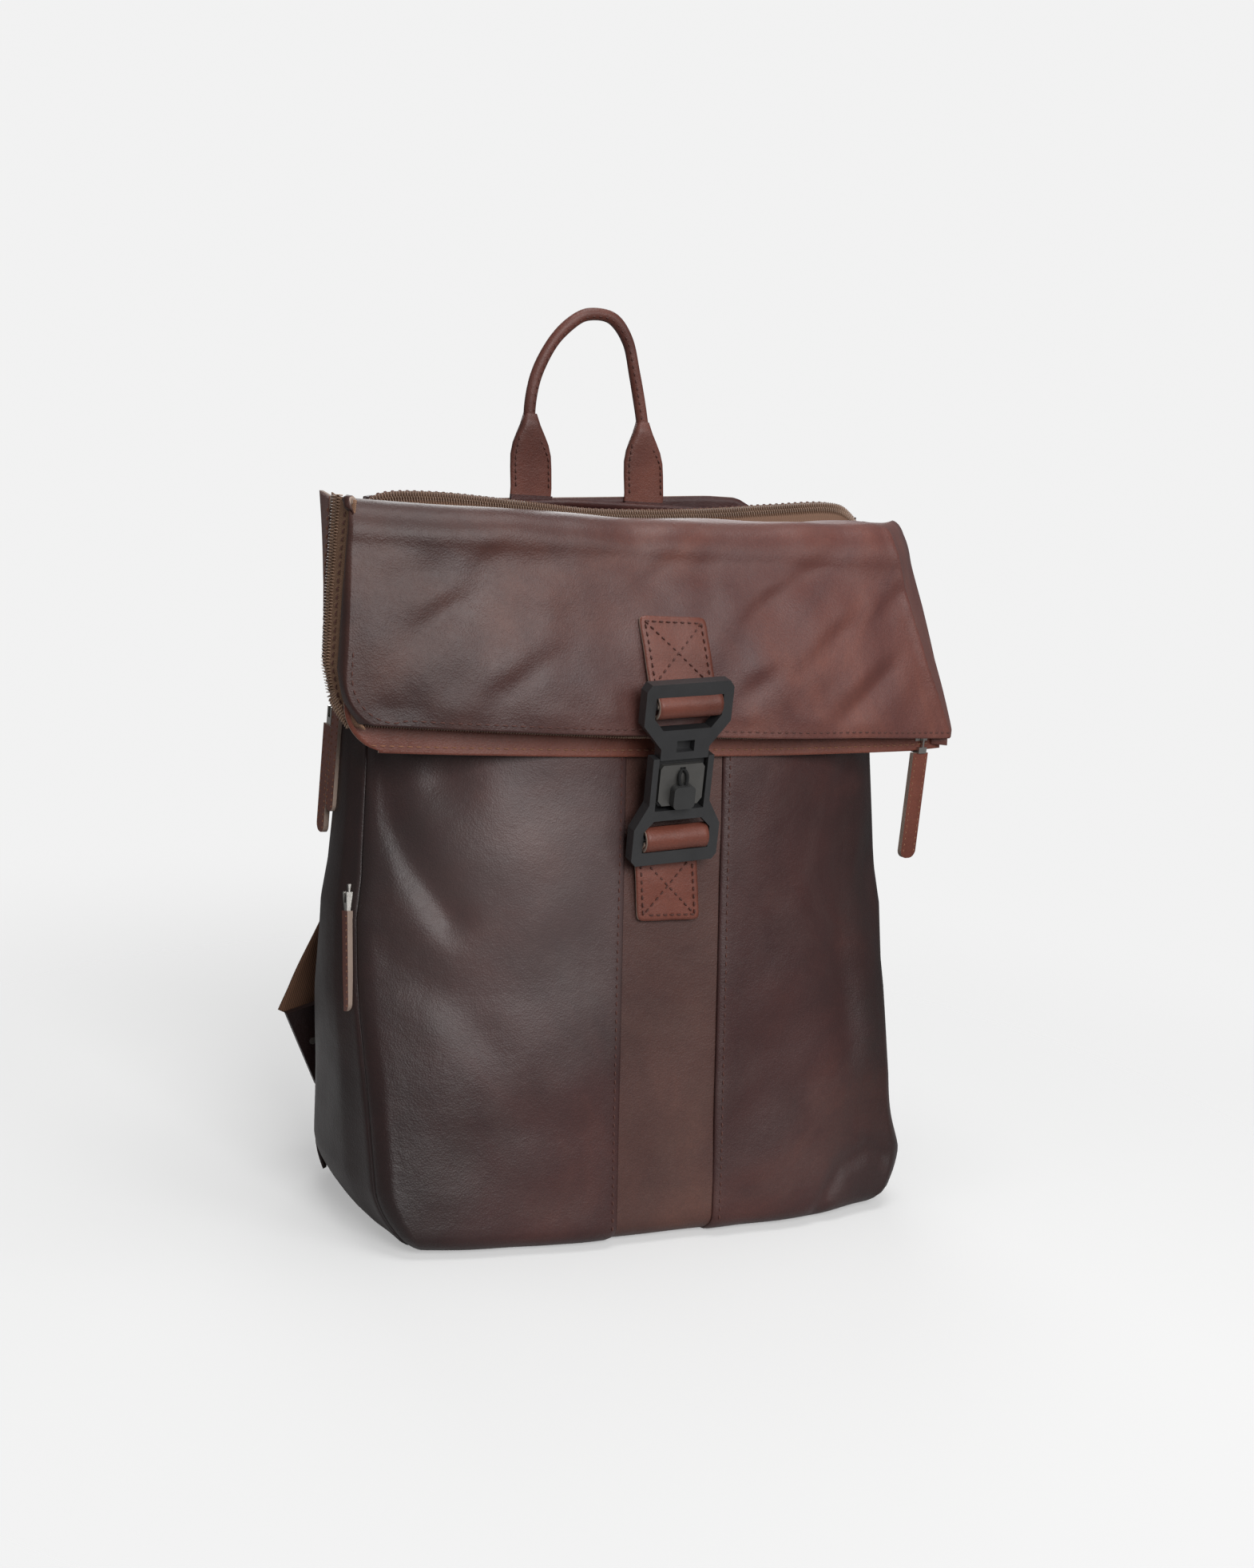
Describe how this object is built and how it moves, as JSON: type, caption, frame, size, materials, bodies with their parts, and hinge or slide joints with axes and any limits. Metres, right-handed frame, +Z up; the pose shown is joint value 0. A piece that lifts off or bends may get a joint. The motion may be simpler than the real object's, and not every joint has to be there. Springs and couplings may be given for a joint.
{
  "type": "leather backpack",
  "caption": "Fold-top leather backpack with a zipped mouth, a laptop compartment, a magnetic slide-release buckle, a rolled carry handle and padded shoulder straps.",
  "frame": {"origin": "centre of the bounding box at the base, on the face the bag stands on", "axes": "+X to the right seen from the front, -Y out of the front towards the viewer, +Z up"},
  "size_m": [0.358, 0.1801, 0.473],
  "materials": {
    "body_leather": "waxed pull-up leather",
    "flap_leather": "waxed pull-up leather",
    "trim_leather": "waxed pull-up leather",
    "lining_fabric": "woven",
    "pad_fabric": "spacer mesh over foam",
    "webbing": "woven webbing",
    "zip_tape": "herringbone tape",
    "zip_coil": "satin",
    "nickel": "satin",
    "buckle_black": "matte",
    "buckle_grey": "satin",
    "cord_black": "braided",
    "tab_rubber": "matte",
    "magnet": "plated",
    "board": "plain"
  },
  "bodies": {
    "bag": {"center_strip": "body_leather", "front_panel_left": "body_leather", "front_panel_right": "body_leather", "gusset_left": "body_leather", "gusset_right": "body_leather", "base_panel": "body_leather", "base_board": "board", "back_panel": "body_leather", "laptop_divider": "lining_fabric", "main_lining": "lining_fabric", "back_padding": "pad_fabric", "top_cap": "body_leather", "laptop_zip_tape": "zip_tape", "laptop_zip_teeth": "zip_coil", "pocket_zip_tape": "zip_tape", "pocket_zip_teeth": "zip_coil", "lower_leather_loop": "trim_leather", "lower_patch": "trim_leather", "handle_ends": "trim_leather", "strap_yoke": "body_leather", "lower_tabs": "body_leather", "tab_screws": "nickel"},
    "flap": {"flap_outer": "flap_leather", "flap_inner": "trim_leather", "flap_gusset_left": "trim_leather", "flap_gusset_right": "flap_leather", "mouth_zip_tape": "zip_tape", "mouth_zip_teeth": "zip_coil", "upper_patch": "trim_leather", "upper_leather_loop": "trim_leather"},
    "upper_buckle": {"buckle_upper_frame": "buckle_black", "buckle_upper_magnet": "magnet"},
    "lower_buckle": {"buckle_lower_frame": "buckle_black", "buckle_lower_magnet": "magnet"},
    "release_plate": {"buckle_release_plate": "buckle_grey"},
    "release_tab": {"buckle_release_cord": "cord_black", "buckle_release_tab": "tab_rubber"},
    "mouth_zip_slider": {"mouth_slider": "nickel"},
    "mouth_zip_pull": {"mouth_link": "nickel", "mouth_pull": "trim_leather"},
    "laptop_zip_slider_lower": {"laptop_slider_lower": "nickel"},
    "laptop_zip_pull_lower": {"laptop_link_lower": "nickel", "laptop_pull_lower": "trim_leather"},
    "laptop_zip_slider_upper": {"laptop_slider_upper": "nickel"},
    "laptop_zip_pull_upper": {"laptop_link_upper": "nickel", "laptop_pull_upper": "trim_leather"},
    "pocket_zip_slider": {"pocket_slider": "nickel"},
    "pocket_zip_pull": {"pocket_link": "nickel", "pocket_pull": "trim_leather"},
    "handle": {"handle_flares": "trim_leather", "handle_grip": "trim_leather", "handle_core": "webbing"},
    "strap_left": {"strap_padding_left": "pad_fabric", "strap_leather_left": "body_leather", "strap_webbing_left": "webbing", "strap_adjuster_left": "buckle_black"},
    "strap_right": {"strap_padding_right": "pad_fabric", "strap_leather_right": "body_leather", "strap_webbing_right": "webbing", "strap_adjuster_right": "buckle_black"}
  },
  "joints": [
    {"name": "flap_hinge", "type": "hinge", "parent": "bag", "child": "flap", "pos_m": [0, -0.045, 0.371], "axis": [-1, 0, 0], "range_deg": [0, 165]},
    {"name": "upper_buckle_pivot", "type": "hinge", "parent": "flap", "child": "upper_buckle", "pos_m": [-0.0118, -0.07701, 0.28354], "axis": [-0.9969, 0, -0.0785], "range_deg": [0, 30]},
    {"name": "lower_buckle_pivot", "type": "hinge", "parent": "bag", "child": "lower_buckle", "pos_m": [-0.0062, -0.06699, 0.21246], "axis": [-0.9969, 0, -0.0785], "range_deg": [0, 10]},
    {"name": "release_plate_slide", "type": "slide", "parent": "upper_buckle", "child": "release_plate", "axis": [-0.0777, -0.1392, 0.9872], "range_m": [0, 0.0025], "stiffness_N_per_m": 200},
    {"name": "release_tab_swing", "type": "hinge", "parent": "release_plate", "child": "release_tab", "pos_m": [-0.00912, -0.07525, 0.24956], "axis": [-0.9969, 0, -0.0785], "range_deg": [0, 30]},
    {"name": "mouth_zip_slide", "type": "slide", "parent": "flap", "child": "mouth_zip_slider", "axis": [-0.9842, -0.1773, 0], "range_m": [0, 0.113]},
    {"name": "mouth_pull_swing", "type": "hinge", "parent": "mouth_zip_slider", "child": "mouth_zip_pull", "pos_m": [0.157, -0.04017, 0.26025], "axis": [-0.1773, 0.9842, 0], "range_deg": [-60, 60]},
    {"name": "laptop_zip_slide_lower", "type": "slide", "parent": "bag", "child": "laptop_zip_slider_lower", "axis": [0, 0, 1], "range_m": [0, 0.015]},
    {"name": "laptop_pull_swing_lower", "type": "hinge", "parent": "laptop_zip_slider_lower", "child": "laptop_zip_pull_lower", "pos_m": [-0.15615, 0.034, 0.258], "axis": [0, 1, 0], "range_deg": [0, 85]},
    {"name": "laptop_zip_slide_upper", "type": "slide", "parent": "bag", "child": "laptop_zip_slider_upper", "axis": [0, 0, 1], "range_m": [0, 0.07]},
    {"name": "laptop_pull_swing_upper", "type": "hinge", "parent": "laptop_zip_slider_upper", "child": "laptop_zip_pull_upper", "pos_m": [-0.15615, 0.034, 0.286], "axis": [0, 1, 0], "range_deg": [0, 85]},
    {"name": "pocket_zip_slide", "type": "slide", "parent": "bag", "child": "pocket_zip_slider", "axis": [0, 0.2425, 0.9701], "range_m": [0, 0.07]},
    {"name": "pocket_pull_swing", "type": "hinge", "parent": "pocket_zip_slider", "child": "pocket_zip_pull", "pos_m": [-0.15615, -0.00933, 0.17069], "axis": [0, 0.9701, -0.2425], "range_deg": [0, 85]},
    {"name": "handle_hinge", "type": "hinge", "parent": "bag", "child": "handle", "pos_m": [-0.015, 0.0525, 0.374], "axis": [1, 0, 0], "range_deg": [-80, 80]},
    {"name": "strap_left_swing", "type": "hinge", "parent": "bag", "child": "strap_left", "pos_m": [-0.151, 0.058, 0.096], "axis": [0.4402, 0.0415, 0.897], "range_deg": [-15, 15]},
    {"name": "strap_right_swing", "type": "hinge", "parent": "bag", "child": "strap_right", "pos_m": [0.151, 0.058, 0.096], "axis": [-0.4402, 0.0415, 0.897], "range_deg": [-15, 15]}
  ]
}
